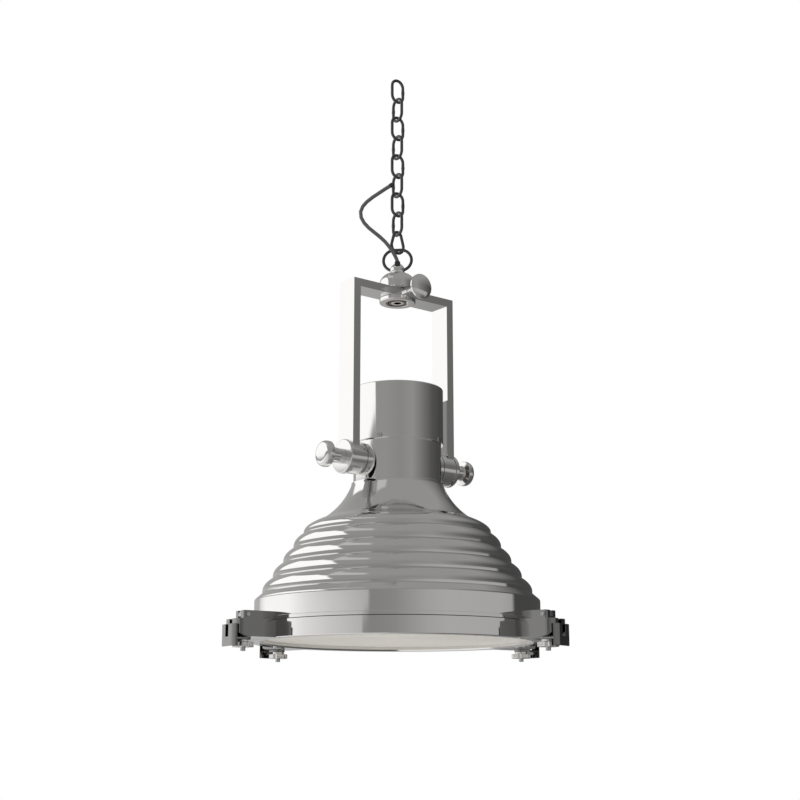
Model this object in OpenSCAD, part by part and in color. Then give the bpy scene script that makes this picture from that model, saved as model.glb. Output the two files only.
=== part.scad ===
// Ribbed ship-style pendant light on a chain, with a swivelling yoke and a tilting shade.
// Millimetres, +Z up. The origin is the hook seat, at the inside top of the first chain link.
// X runs along the yoke's trunnion axis.

/* [Chain] */
// Wire thickness of the chain links, the tapered link and the ring
wire_d = 4.2; // [3:0.1:5]
// Inside length of one oval link
link_in = 29.1; // [26:0.1:38]
// Inside width of one oval link
link_in_w = 15.1; // [13:0.1:20]
// Inside height of the tapered link
taper_in = 26.6; // [24:0.2:34]
// Inside width of the tapered link across its wide lower end
taper_low_w = 16.6; // [14:0.2:20]
// Inside width of the tapered link across its narrow top
taper_top_w = 9; // [7:0.2:12]

/* [Ring and head] */
// Inside height of the suspension ring
ring_in_h = 26; // [25:0.5:32]
// Inside width of the suspension ring
ring_in_w = 35.1; // [34:0.1:46]
// Turn of the ring about the vertical, from the yoke's line
ring_yaw = -45; // [-70:5:-30]
// Radius of the round knob that the ring passes through
knob_r = 10.2; // [9.5:0.1:12]
// Radius of the head just under the knob
head_neck_r = 8.7; // [7.5:0.1:9.4]
// Radius of the head's dome
dome_r = 25; // [22:0.5:30]
// Height of the dome's curved part
dome_h = 16; // [12:0.5:18]
// Height from the yoke bar's top up to the ring's lower wire
eye_rise = 30.8; // [30:0.1:40]
// Radius of the head's hollow stem
stem_r = 9; // [8:0.1:10]
// Radius of the wire way through the stem
stem_bore_r = 5; // [4:0.1:6]
// Thickness of the swivel washer on the bar
swivel_washer_t = 1; // [0.5:0.1:1.5]
// Radius of the collar under the bar
collar_r = 25; // [23:0.5:30]
// Height of the collar under the bar
collar_h = 6; // [5:0.1:9]
// Radius of the open cup in the collar
collar_cup_r = 15.5; // [14.5:0.1:18]
// Width of the stem nut across its flats
stem_nut_w = 24; // [22:0.5:25]

/* [Cord] */
// Thickness of the power cord
cord_d = 5.2; // [4:0.1:6]
// Wall of the bush that the cord leaves the head by
bush_wall = 1.6; // [1:0.1:2]
// Height of the cord bush
bush_h = 7; // [6:0.5:10]
// Length of the sleeve on the cord's end
cord_sleeve_l = 8; // [5:0.5:12]

/* [Yoke] */
// Width of the yoke across its arms
yoke_w = 172; // [166:1:190]
// Height from the trunnion axis to the top of the bar
yoke_h = 243; // [225:1:280]
// Depth of the flat tube, front to back
bar_w = 33; // [30:0.5:36]
// Thickness of the flat tube
bar_t = 11; // [10:0.1:13]
// Wall of the flat tube
bar_wall = 2; // [1.5:0.1:2.5]
// Thickness of the wire inside the yoke
yoke_wire_d = 5.6; // [4:0.1:5.8]

/* [Thumbscrew] */
// Radius of the thumbscrew's stem
thumb_stem_r = 4; // [3:0.1:4.5]
// Radius of the thumbscrew's disc
thumb_disc_r = 17.5; // [14:0.5:19]
// Thickness of the disc at its rim
thumb_disc_t = 3; // [2:0.5:5]
// Height of the disc's domed face
thumb_crown = 5; // [1:0.5:5]
// Distance from the lamp's axis to the back of the disc
thumb_reach = 50; // [46:1:62]
// Distance from the lamp's axis to the end of the thumbscrew's boss
thumb_boss_reach = 27; // [22:1:34]

/* [Trunnions] */
// Radius of the bosses on the neck and the arms
boss_r = 21.5; // [17:0.5:23]
// Length that the arm's boss stands in from the arm
arm_boss_l = 9.5; // [8:0.1:10]
// Thickness of the friction washer
friction_t = 1; // [0.5:0.1:1.5]
// Radius of the trunnion stud
stud_r = 6; // [5:0.1:7]
// Radius of the flange washer under the knob
flange_washer_r = 22.5; // [20:0.5:24]
// Thickness of the flange washer
flange_washer_t = 6; // [4:0.5:8]
// Radius of the clamp knob's shank
knob_shank_r = 10; // [8.5:0.1:11]
// Length of the clamp knob's shank
knob_shank_l = 22; // [16:1:28]
// Radius of the clamp knob's head
knob_head_r = 17.3; // [15:0.1:19]
// Thickness of the clamp knob's rim
knob_rim_t = 4.5; // [3:0.5:6]
// Height of the clamp knob's domed end
knob_dome_h = 7; // [4:0.5:9]

/* [Neck] */
// Outer radius of the neck tube
neck_r = 59; // [57:0.5:61]
// Wall of the neck tube
neck_wall = 2.5; // [2:0.1:3.5]
// Length of neck tube inside the cap
neck_lap = 9; // [7:0.5:12]
// Wall of the cap over the neck
cap_wall = 2.9; // [2:0.1:3.5]
// Height of the cap
cap_h = 79; // [70:1:100]
// Height of the seam under the cap, above the trunnion axis
seam_rise = 25; // [23:1:37]
// Height of the trunnion axis above the bezel's bottom
trunnion_h = 238; // [225:1:260]
// Width of one latch plate at the seam
latch_w = 11; // [8:0.5:14]
// Height of one latch plate
latch_h = 5.5; // [4:0.5:8]

/* [Shade] */
// Outer radius of the straight drum
drum_r = 187; // [175:1:210]
// Height of the top of the straight drum
drum_top = 54; // [50:1:56]
// Wall of the shade
shade_wall = 2; // [1.5:0.1:2.5]
// Step in from the drum to the lowest rib
rib_set_in = 10; // [8:0.5:13]
// Height of the lowest rib's lower edge
rib_low = 62.5; // [61:0.5:65]
// Rise from one rib to the next
rib_rise = 19.8; // [19:0.1:20.5]
// Step in from one rib to the next
rib_in = 13.2; // [12.5:0.1:14]
// Height of the point that a rib's curve leans towards
rib_face = 8.7; // [8:0.1:9.5]
// Rounding cut along the drum's upper edge
drum_round = 3; // [2:0.1:4]
// Step in from the top rib to the foot of the flare
flare_in = 25.2; // [24:0.1:27]
// Pull of the flare's curve, outwards from the collar
flare_lean = 10.8; // [8:0.1:14]
// Height of the collar that the flare ends in
shade_collar_h = 2.5; // [2:0.5:6]
// Gap between the shade's collar and the bosses over it
boss_gap = 6; // [4:0.5:8]
// Width of the flange under the drum, beyond the drum
flange_out = 3; // [2:0.5:4]
// Height of the flange
flange_h = 5; // [4:0.5:7]

/* [Bezel and lens] */
// Width of the bezel beyond the drum
bezel_out = 5; // [4.6:0.1:7]
// Height of the bezel
bezel_h = 21.5; // [20:0.5:23]
// Wall of the bezel's band
bezel_wall = 4.5; // [4:0.1:5]
// Width of the bezel's lip
lip_w = 11.5; // [8:0.5:16]
// Height of the bezel's lip, which the lens lies on
lip_h = 6; // [4:0.5:7]
// Thickness of the lens
lens_t = 5; // [4:0.5:6]
// Thickness of the gasket on the lens
gasket_t = 5; // [4:0.5:6]
// Width of the gasket
gasket_w = 6; // [4:0.5:8]

/* [Clamps] */
// Distance of the clamp bolts beyond the drum
bolt_out = 38; // [37:1:42]
// Turn of the clamps' middle line from the front
clamp_yaw = -39; // [-50:1:0]
// Half of the angle between the two front clamps
front_angle = 55.5; // [45:0.5:60]
// Half of the angle between the two back clamps
back_angle = 49.5; // [45:0.5:60]
// Radius of the clamp bolt
bolt_r = 3.25; // [2.5:0.05:3.5]
// Radius of the eye at the bolt's top
bolt_eye_r = 5.5; // [5:0.1:6]
// Width of the eye
bolt_eye_w = 7; // [6.5:0.1:9]
// Radius of the pivot pin
pin_r = 2.5; // [2:0.1:3]
// Height of the pivot pin
pivot_h = 27; // [26.5:0.5:28]
// Half width of the hinge lug
lug_half = 12; // [10:0.5:14]
// Height of the hinge lug
lug_h = 10; // [9:0.5:12]
// Half width of the bezel's lug
bezel_lug_half = 20; // [18:0.5:24]
// Length of the bezel's lug beyond the bolt
bezel_lug_out = 17; // [14:0.5:18]
// Thickness of the clamp shoe
shoe_t = 2.7; // [2:0.1:3.5]
// Thickness of the shoe's cheek
cheek_t = 5; // [4:0.1:6]
// Height of the cheek's top above the bezel's bottom
cheek_top = 15; // [10:0.5:17]
// Drop of the cheek under the bezel's bottom
cheek_drop = 11; // [8:0.5:12]
// Radius of the thumb nut's hub
nut_hub_r = 8.5; // [7:0.1:9]
// Height of the thumb nut's hub
nut_hub_h = 3; // [2:0.5:5]
// Radius of the thumb nut's flange
nut_flange_r = 13.5; // [11:0.5:14]
// Height of the thumb nut's flange
nut_flange_h = 6; // [5:0.5:8]
// Length of bolt under the nut
bolt_tip = 4.5; // [4:0.5:8]
// Radius of the rivets that hold the hinge lugs
rivet_r = 2; // [1.5:0.1:2.2]
// Length of those rivets, from inside the shade's wall
rivet_l = 10; // [8:0.5:12]

/* [Lampholder and bulb] */
// Thickness of the bracket on the neck's top
bracket_t = 3; // [2:0.5:4]
// Radius of the lampholder body
holder_r = 22; // [19:0.5:26]
// Length of the lampholder body
holder_l = 60; // [56:1:70]
// Radius of the bulb's cap
bulb_cap_r = 13.2; // [12:0.1:14]
// Length of the bulb's cap
bulb_cap_l = 25; // [22:0.5:28]
// Largest radius of the bulb
bulb_r = 35; // [30:1:42]
// Length of the bulb's glass
bulb_l = 105; // [95:1:120]
// Thickness of the wire in the neck
neck_wire_d = 6; // [4:0.5:7]

/* [Fits] */
// Gap where two wires of the chain cross
chain_play = 0.25; // [0.15:0.05:0.4]
// Running gap round shafts and pins
run_gap = 0.05; // [0.02:0.01:0.1]
// Gap of pieces that are fixed in each other
fit_gap = 0.05; // [0.02:0.01:0.1]
// Free gap between moving faces
free_gap = 0.3; // [0.2:0.05:0.5]

/* [Hidden] */
$fn = 96;
link_count = 8;
rib_count = 5;
wire_r = wire_d / 2;
link_pitch = link_in - chain_play;
function link_z(k) = -link_in / 2 - (k - 1) * link_pitch;

// The tapered link and the ring hang under the last oval link
taper_top_z = link_z(link_count) - link_in / 2 + chain_play;
taper_low_z = taper_top_z - taper_in;
ring_top_z = taper_low_z + chain_play;
eye_z = ring_top_z - ring_in_h - wire_r;
ring_bend = (ring_in_h + wire_d) / 2;
ring_flat = ring_in_w - ring_in_h;

// The eye clears the ring's wire, which curves up as it leaves the knob
eye_play = 0.4;
wire_lift = ring_bend - sqrt(ring_bend * ring_bend - pow(knob_r - ring_flat / 2, 2));
eye_r = wire_r + wire_lift + eye_play;

bar_top = eye_z - eye_rise;
bar_low = bar_top - bar_t;
head_low = bar_top + swivel_washer_t + free_gap;
collar_top = bar_low - free_gap;
collar_low = collar_top - collar_h;
collar_web = 2;
stem_low = collar_low + 0.5;
stem_boss_r = stem_r + 4;

trunnion_z = bar_top - yoke_h;
lamp_z = trunnion_z - trunnion_h;
half_span = yoke_w / 2;
arm_in = half_span - bar_t;
arm_boss_in = arm_in - arm_boss_l;
neck_boss_end = arm_boss_in - friction_t;
knob_low = half_span + flange_washer_t;
knob_head_low = knob_low + knob_shank_l;
knob_end = knob_head_low + knob_rim_t + knob_dome_h;
stud_inner = neck_r - 7;
stud_end = knob_head_low - 4;

seam_h = trunnion_h + seam_rise;
neck_top = seam_h + neck_lap;
shade_top = trunnion_h - boss_r - boss_gap;
flare_top = shade_top - shade_collar_h;
neck_low = flare_top - 4;
cap_in_r = neck_r + fit_gap;
cap_r = cap_in_r + cap_wall;
cap_top = seam_h + cap_h;
bracket_low = neck_top;

rib_r = drum_r - rib_set_in;
bezel_r = drum_r + bezel_out;
bezel_in = bezel_r - bezel_wall;
lip_r = bezel_in - lip_w;
bolt_circle = drum_r + bolt_out;
lens_top = lip_h + lens_t;
gasket_top = lens_top + gasket_t;
flange_low = bezel_h + 0.5;
flange_top = flange_low + flange_h;
flange_r = drum_r + flange_out;
spigot_r = min(drum_r, bezel_in) - free_gap;

// Clamp heights are measured from the bezel's bottom, radial distances from the bolt
shoe_top = -free_gap;
shoe_low = shoe_top - shoe_t;
nut_low = shoe_low - nut_hub_h - nut_flange_h;
bolt_low = nut_low - bolt_tip;
lug_low = flange_low;
slot_half = bolt_r + 0.5;
clevis_half = bolt_eye_w / 2 + free_gap;
rivet_head_r = rivet_r + 1;
rivet_h = flange_top + rivet_head_r + free_gap;
CLAMP_ANGLES = [clamp_yaw - front_angle, clamp_yaw + front_angle,
                clamp_yaw + 180 - back_angle, clamp_yaw + 180 + back_angle];
LATCH_ANGLES = [-62, 28, 118, 208];

bush_at = [-4, -5];
bush_r = cord_d / 2 + bush_wall;
bush_low = eye_z + eye_r + 0.9;

// The cord's middle line, from inside its bush to its cut end
CORD = [
    [-4, -5, bush_low], [-4, -5, -275], [-5.2, -4.9, -271], [-7.5, -4, -266], [-11.2, -3, -260],
    [-15.4, -1, -253.5], [-20.4, 2, -246.5], [-26.5, 5.5, -240], [-33.5, 9, -234], [-40.5, 12.5, -228],
    [-46.8, 15.4, -221], [-51, 16.8, -213.5], [-52.4, 16.2, -205.5], [-50.6, 13.6, -198], [-46.6, 9.4, -191.5],
    [-41.9, 3.2, -186], [-36.5, -2.6, -181], [-31.2, -8.2, -176], [-26.1, -13.3, -171.5], [-22.1, -16.9, -168]
];
CORD_SIDES = 10;

POLISHED = "gainsboro";
DARK_STEEL = "dimgray";

// Small helpers

function unit(v) = v / norm(v);

// Points of a path with every inner corner rounded by a short curve
function rounded(path, cut) = [
    for (i = [0 : len(path) - 1])
        if (i == 0 || i == len(path) - 1) path[i]
        else
            let (b = path[i],
                 a = b + cut * unit(path[i - 1] - b),
                 c = b + cut * unit(path[i + 1] - b))
            for (s = [0 : 0.25 : 1]) (1 - s) * (1 - s) * a + 2 * s * (1 - s) * b + s * s * c
];

// Points of a curve from a to c that leans towards b
function curve(a, b, c, steps) = [
    for (i = [0 : steps])
        let (s = i / steps) (1 - s) * (1 - s) * a + 2 * s * (1 - s) * b + s * s * c
];

function left_of(v) = [-v[1], v[0]];

// A path moved sideways to its left by d
function shifted(path, d) = [
    for (i = [0 : len(path) - 1])
        let (n1 = left_of(unit(path[max(i, 1)] - path[max(i, 1) - 1])),
             j = min(i, len(path) - 2),
             n2 = left_of(unit(path[j + 1] - path[j])))
        path[i] + d * (n1 + n2) / (1 + n1 * n2)
];

function reversed(path) = [for (i = [len(path) - 1 : -1 : 0]) path[i]];

// A bent wire: an arc of the given middle radius, in the XZ plane, from angle a0 over a turn
module wire_arc(r, a0, turn) {
    rotate([90, 0, 0])
        rotate([0, 0, a0])
            rotate_extrude(angle = turn)
                translate([r, 0])
                    circle(r = wire_r);
}

// A straight wire between two points of the XZ plane, reaching past both by the given lap
module wire_run(a, b, lap = 0, thin = 0) {
    d = b - a;
    translate([a[0], 0, a[1]])
        rotate([0, atan2(d[0], d[1]), 0])
            translate([0, 0, -lap])
                cylinder(r = wire_r - thin, h = norm(d) + 2 * lap);
}

// A plate in plan with two rounded outer corners
module slab(x0, x1, half, corner) {
    translate([x0, -half])
        square([x1 - corner - x0, 2 * half]);
    translate([x0, corner - half])
        square([x1 - x0, 2 * (half - corner)]);
    for (s = [-1, 1])
        translate([x1 - corner, s * (half - corner)])
            circle(r = corner);
}

module in_lamp() {
    translate([0, 0, lamp_z])
        children();
}

// Puts a clamp's piece on its bolt, with X pointing away from the lamp
module at_clamp(i) {
    in_lamp()
        rotate([0, 0, CLAMP_ANGLES[i] - 90])
            translate([bolt_circle, 0, 0])
                children();
}

module along_x(side) {
    translate([0, 0, trunnion_z])
        rotate([0, side * 90, 0])
            children();
}

// Chain, tapered link and ring

module oval_link() {
    r = link_in_w / 2 + wire_r;
    c = link_in / 2 - link_in_w / 2;
    translate([0, 0, c])
        wire_arc(r, 0, 180);
    translate([0, 0, -c])
        wire_arc(r, 180, 180);
    for (s = [-1, 1])
        wire_run([s * r, -c], [s * r, c]);
}

module chain_link(k) {
    color(DARK_STEEL)
        translate([0, 0, link_z(k)])
            rotate([0, 0, k % 2 == 1 ? 0 : 90])
                oval_link();
}

module tapered_link() {
    r1 = taper_top_w / 2 + wire_r;
    r2 = taper_low_w / 2 + wire_r;
    z1 = taper_top_z - taper_top_w / 2;
    z2 = taper_low_z + taper_low_w / 2;
    lean = asin((r2 - r1) / (z1 - z2));
    color(DARK_STEEL) {
        translate([0, 0, z1])
            wire_arc(r1, lean, 180 - 2 * lean);
        translate([0, 0, z2])
            wire_arc(r2, 180 - lean, 180 + 2 * lean);
        for (s = [-1, 1])
            wire_run([s * r2 * cos(lean), z2 + r2 * sin(lean)], [s * r1 * cos(lean), z1 + r1 * sin(lean)],
                     lap = 0.2, thin = 0.02);
    }
}

module suspension_ring() {
    color(DARK_STEEL)
        translate([0, 0, eye_z + ring_bend])
            rotate([0, 0, ring_yaw]) {
                translate([ring_flat / 2, 0, 0])
                    wire_arc(ring_bend, -90, 180);
                translate([-ring_flat / 2, 0, 0])
                    wire_arc(ring_bend, 90, 180);
                for (s = [-1, 1])
                    wire_run([-ring_flat / 2, s * ring_bend], [ring_flat / 2, s * ring_bend]);
            }
}

// Hanger head, its collar and its cord

module hanger_head() {
    dome_low = eye_z - wire_r - dome_h - 3;
    dome = [
        for (a = [0 : 10 : 90])
            [head_neck_r + (dome_r - head_neck_r) * sin(a), dome_low + dome_h * cos(a)]
    ];
    color(POLISHED)
        difference() {
            union() {
                translate([0, 0, eye_z])
                    sphere(r = knob_r);
                rotate_extrude()
                    polygon(concat(
                        [[0, eye_z], [head_neck_r, eye_z]], dome,
                        [[dome_r, head_low + 1], [dome_r - 1, head_low], [stem_r, head_low],
                         [stem_r, stem_low], [0, stem_low]]));
            }
            translate([0, 0, stem_low - 1])
                cylinder(r = stem_bore_r, h = dome_low + dome_h / 2 - stem_low);
            translate([0, 0, eye_z])
                rotate([0, 90, ring_yaw])
                    cylinder(r = eye_r, h = 4 * knob_r, center = true);
            translate([bush_at[0], bush_at[1], bush_low])
                cylinder(r = bush_r + fit_gap, h = 2 * knob_r);
        }
}

module cord_bush() {
    color("black")
        translate([bush_at[0], bush_at[1], bush_low])
            rotate_extrude()
                polygon([[cord_d / 2, 0], [bush_r, 0], [bush_r, bush_h * 0.6],
                         [cord_d / 2 + 0.8, bush_h], [cord_d / 2, bush_h]]);
}

// The cord is one tube, with a ring of points at every point of its route
module power_cord() {
    n = len(CORD);
    along = [for (i = [0 : n - 1]) unit(CORD[min(i + 1, n - 1)] - CORD[max(i - 1, 0)])];
    rings = [
        for (i = [0 : n - 1])
            let (u = unit(cross(along[i], [0.6, -0.8, 0])), v = cross(along[i], u))
            for (k = [0 : CORD_SIDES - 1])
                CORD[i] + cord_d / 2 * (cos(360 * k / CORD_SIDES) * u + sin(360 * k / CORD_SIDES) * v)
    ];
    sides = [
        for (i = [0 : n - 2], k = [0 : CORD_SIDES - 1])
            let (a = i * CORD_SIDES + k, b = i * CORD_SIDES + (k + 1) % CORD_SIDES)
            for (t = [[a, b, a + CORD_SIDES], [b, b + CORD_SIDES, a + CORD_SIDES]]) t
    ];
    last = (n - 1) * CORD_SIDES;
    ends = [
        for (k = [1 : CORD_SIDES - 2])
            for (t = [[0, k + 1, k], [last, last + k, last + k + 1]]) t
    ];
    color("darkslategray")
        polyhedron(points = rings, faces = concat(sides, ends));
}

module cord_sleeve() {
    tip = CORD[len(CORD) - 1];
    d = unit(tip - CORD[len(CORD) - 2]);
    color("black")
        translate(tip - d * (cord_sleeve_l - 1))
            rotate([0, acos(d[2]), atan2(d[1], d[0])])
                difference() {
                    cylinder(r = cord_d / 2 + 0.6, h = cord_sleeve_l);
                    translate([0, 0, -1])
                        cylinder(r = cord_d / 2, h = cord_sleeve_l);
                }
}

module swivel_washer() {
    color("dimgray")
        translate([0, 0, bar_top + free_gap])
            difference() {
                cylinder(r = dome_r - 3, h = swivel_washer_t);
                translate([0, 0, -1])
                    cylinder(r = stem_r + fit_gap, h = swivel_washer_t + 2);
            }
}

module retaining_collar() {
    color(POLISHED)
        translate([0, 0, collar_low])
            difference() {
                cylinder(r = collar_r, h = collar_h);
                translate([0, 0, -1])
                    cylinder(r = collar_cup_r, h = collar_h + 1 - collar_web);
                translate([0, 0, -1])
                    cylinder(r = stem_r + fit_gap, h = collar_h + 2);
            }
}

module stem_nut() {
    color("darkgoldenrod")
        translate([0, 0, stem_low])
            difference() {
                cylinder(r = stem_nut_w / 2 / cos(30), h = collar_top - collar_web - stem_low, $fn = 6);
                translate([0, 0, -1])
                    cylinder(r = stem_r + fit_gap, h = collar_h + 2);
            }
}

// Yoke, thumbscrew and trunnions

module yoke_frame() {
    mid_z = (bar_top + bar_low) / 2;
    arm_low = trunnion_z;
    color(POLISHED)
        difference() {
            union() {
                difference() {
                    union() {
                        translate([-half_span, -bar_w / 2, bar_low])
                            cube([yoke_w, bar_w, bar_t]);
                        for (s = [0, 1])
                            mirror([s, 0, 0])
                                translate([arm_in, -bar_w / 2, arm_low])
                                    cube([bar_t, bar_w, yoke_h]);
                    }
                    translate([bar_wall - half_span, bar_wall - bar_w / 2, bar_low + bar_wall])
                        cube([yoke_w - 2 * bar_wall, bar_w - 2 * bar_wall, bar_t - 2 * bar_wall]);
                    for (s = [0, 1])
                        mirror([s, 0, 0])
                            translate([arm_in + bar_wall, bar_wall - bar_w / 2, arm_low + boss_r])
                                cube([bar_t - 2 * bar_wall, bar_w - 2 * bar_wall, yoke_h - boss_r - bar_wall]);
                }
                for (s = [-1, 1])
                    along_x(s)
                        translate([0, 0, arm_boss_in])
                            cylinder(r = boss_r, h = half_span - arm_boss_in);
                translate([0, 0, bar_low])
                    cylinder(r = stem_boss_r, h = bar_t);
                translate([0, 0, mid_z])
                    rotate([90, 0, 0])
                        cylinder(r = bar_t / 2, h = thumb_boss_reach);
            }
            translate([0, 0, bar_low - 1])
                cylinder(r = stem_r + run_gap, h = bar_t + 2);
            translate([0, 0, mid_z])
                rotate([90, 0, 0])
                    cylinder(r = thumb_stem_r + run_gap, h = thumb_boss_reach + 1);
            for (s = [-1, 1])
                along_x(s)
                    translate([0, 0, arm_boss_in - 1])
                        cylinder(r = stud_r + run_gap, h = half_span - arm_boss_in + 2);
        }
}

// The wire lies in the bar from the stem's boss to the corner, then goes down the right arm
module yoke_wire() {
    r = yoke_wire_d / 2;
    mid_z = (bar_top + bar_low) / 2;
    mid_x = (half_span + arm_in) / 2;
    color("saddlebrown") {
        translate([stem_boss_r + free_gap, 0, mid_z])
            rotate([0, 90, 0])
                cylinder(r = r, h = mid_x - stem_boss_r - free_gap);
        translate([mid_x, 0, mid_z])
            sphere(r = r);
        translate([mid_x, 0, trunnion_z + boss_r + free_gap])
            cylinder(r = r, h = mid_z - trunnion_z - boss_r - free_gap);
    }
}

module thumbscrew() {
    face = thumb_reach + thumb_disc_t;
    color(POLISHED)
        translate([0, 0, (bar_top + bar_low) / 2])
            rotate([90, 0, 0])
                rotate_extrude()
                    polygon(concat(
                        [[0, stem_r + free_gap], [thumb_stem_r, stem_r + free_gap],
                         [thumb_stem_r, thumb_reach - 4], [thumb_stem_r + 3, thumb_reach]],
                        [[thumb_disc_r - 1, thumb_reach], [thumb_disc_r, thumb_reach + 1]],
                        curve([thumb_disc_r, face], [thumb_disc_r * 0.6, face + thumb_crown],
                              [0, face + thumb_crown], 8)));
}

module washer_pair(r, bore, from, thick) {
    for (s = [-1, 1])
        along_x(s)
            translate([0, 0, from])
                difference() {
                    cylinder(r = r, h = thick);
                    translate([0, 0, -1])
                        cylinder(r = bore, h = thick + 2);
                }
}

module friction_washers() {
    color("black")
        washer_pair(boss_r - 0.6, stud_r + run_gap, neck_boss_end, friction_t);
}

module flange_washers() {
    color(POLISHED)
        washer_pair(flange_washer_r, stud_r + run_gap, half_span, flange_washer_t);
}

module trunnion_studs() {
    color("silver")
        for (s = [-1, 1])
            along_x(s)
                translate([0, 0, stud_inner])
                    cylinder(r = stud_r, h = stud_end - stud_inner);
}

module clamp_knob(side) {
    face = knob_head_low + knob_rim_t;
    color(POLISHED)
        along_x(side)
            difference() {
                rotate_extrude()
                    polygon(concat(
                        [[0, knob_low], [knob_shank_r, knob_low], [knob_shank_r, knob_head_low],
                         [knob_head_r - 1, knob_head_low], [knob_head_r, knob_head_low + 1]],
                        curve([knob_head_r, face], [knob_head_r * 0.8, knob_end], [0, knob_end], 8)));
                translate([0, 0, knob_low - 1])
                    cylinder(r = stud_r + run_gap, h = stud_end - knob_low + 1 + free_gap);
            }
}

// Neck and cap

module neck() {
    color(POLISHED)
        in_lamp()
            difference() {
                union() {
                    translate([0, 0, neck_low])
                        cylinder(r = neck_r, h = neck_top - neck_low);
                    translate([-neck_boss_end, 0, trunnion_h])
                        rotate([0, 90, 0])
                            cylinder(r = boss_r, h = 2 * neck_boss_end);
                }
                difference() {
                    translate([0, 0, neck_low - 1])
                        cylinder(r = neck_r - neck_wall, h = neck_top - neck_low + 2);
                    for (s = [-1, 1])
                        translate([0, 0, trunnion_h])
                            rotate([0, s * 90, 0])
                                translate([0, 0, stud_inner])
                                    cylinder(r = boss_r, h = neck_wall + 4);
                }
                translate([-yoke_w, 0, trunnion_h])
                    rotate([0, 90, 0])
                        cylinder(r = stud_r + fit_gap, h = 2 * yoke_w);
            }
}

module neck_cap() {
    edge = 1.2;
    color(POLISHED)
        in_lamp()
            rotate_extrude()
                polygon([[cap_in_r, seam_h], [cap_r, seam_h], [cap_r, cap_top - edge],
                         [cap_r - edge, cap_top], [0, cap_top], [0, cap_top - cap_wall],
                         [cap_in_r, cap_top - cap_wall]]);
}

module cap_latches() {
    turn = latch_w / cap_r * 180 / PI;
    color("white")
        in_lamp()
            for (a = LATCH_ANGLES)
                rotate([0, 0, a - 90 - turn / 2])
                    rotate_extrude(angle = turn)
                        translate([cap_r + fit_gap, seam_h])
                            square([1.2, latch_h]);
}

// Lampholder and bulb, inside the neck

module lampholder_bracket() {
    color("silver")
        in_lamp()
            difference() {
                translate([0, 0, bracket_low])
                    cylinder(r = neck_r - 0.5, h = bracket_t);
                translate([neck_r * 0.68, 0, bracket_low - 1])
                    cylinder(r = neck_wire_d / 2 + free_gap, h = bracket_t + 2);
                for (a = [60 : 120 : 300])
                    rotate([0, 0, a])
                        translate([holder_r * 0.75, 0, bracket_low - 1])
                            cylinder(r = 2 + fit_gap, h = bracket_t + 2);
            }
}

module bracket_screws() {
    color("silver")
        in_lamp()
            for (a = [60 : 120 : 300])
                rotate([0, 0, a])
                    translate([holder_r * 0.75, 0, bracket_low]) {
                        translate([0, 0, -8])
                            cylinder(r = 2, h = 8 + bracket_t);
                        translate([0, 0, bracket_t])
                            cylinder(r = 3.5, h = 2.4);
                    }
}

shell_wall = 0.8;
holder_low = bracket_low - holder_l;
shell_in_r = bulb_cap_r + 0.2;
shell_r = shell_in_r + shell_wall;
bulb_seat = holder_low + 2;
contact_low = bulb_seat + bulb_cap_l + 1;

module lampholder() {
    color("ivory")
        in_lamp()
            difference() {
                translate([0, 0, holder_low])
                    cylinder(r = holder_r, h = holder_l);
                translate([0, 0, holder_low - 1])
                    cylinder(r = shell_r + fit_gap, h = contact_low + 3 - holder_low);
                for (a = [60 : 120 : 300])
                    rotate([0, 0, a])
                        translate([holder_r * 0.75, 0, bracket_low - 9])
                            cylinder(r = 2 + fit_gap, h = 10);
            }
}

module screw_shell() {
    color("goldenrod")
        in_lamp()
            translate([0, 0, bulb_seat])
                difference() {
                    cylinder(r = shell_r, h = bulb_cap_l);
                    translate([0, 0, -1])
                        cylinder(r = shell_in_r, h = bulb_cap_l + 2);
                }
}

module centre_contact() {
    color("goldenrod")
        in_lamp()
            translate([0, 0, contact_low])
                cylinder(r = 5, h = 2);
}

module bulb_cap() {
    color("silver")
        in_lamp()
            translate([0, 0, bulb_seat - 1])
                rotate_extrude()
                    polygon([[0, 0], [bulb_cap_r, 0], [bulb_cap_r, bulb_cap_l - 5],
                             [4, bulb_cap_l], [4, bulb_cap_l + 2], [0, bulb_cap_l + 2]]);
}

module bulb_glass() {
    top = bulb_seat - 1;
    low = top - bulb_l;
    side = concat(
        curve([bulb_cap_r - 1, top], [bulb_cap_r + 1, top - bulb_l * 0.3], [bulb_r, low + bulb_r], 6),
        [for (a = [10 : 10 : 80]) [bulb_r * cos(a), low + bulb_r * (1 - sin(a))]]);
    color("lightyellow")
        in_lamp()
            rotate_extrude()
                polygon(concat([[0, top]], side, [[0, low]]));
}

module terminal_block() {
    color("whitesmoke")
        in_lamp()
            translate([-22, -10, bracket_low + bracket_t + 2.4])
                cube([44, 20, 16]);
}

module neck_wire() {
    r = neck_wire_d / 2;
    x = neck_r * 0.68;
    top = bracket_low + bracket_t + 10;
    color("saddlebrown")
        in_lamp() {
            translate([x, 0, trunnion_h + boss_r + 2])
                cylinder(r = r, h = top - trunnion_h - boss_r - 2);
            translate([x, 0, top])
                sphere(r = r);
            translate([22.2, 0, top])
                rotate([0, 90, 0])
                    cylinder(r = r, h = x - 22.2);
        }
}

// Shade

collar_out_r = neck_r + fit_gap + shade_wall + 0.6;
top_rib = [rib_r - rib_in * (rib_count - 1), rib_low + rib_rise * (rib_count - 1)];
flare_foot = top_rib + [-flare_in, rib_rise + 0.5];
flare_pull = [collar_out_r + flare_lean, flare_foot[1] + 18];

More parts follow.
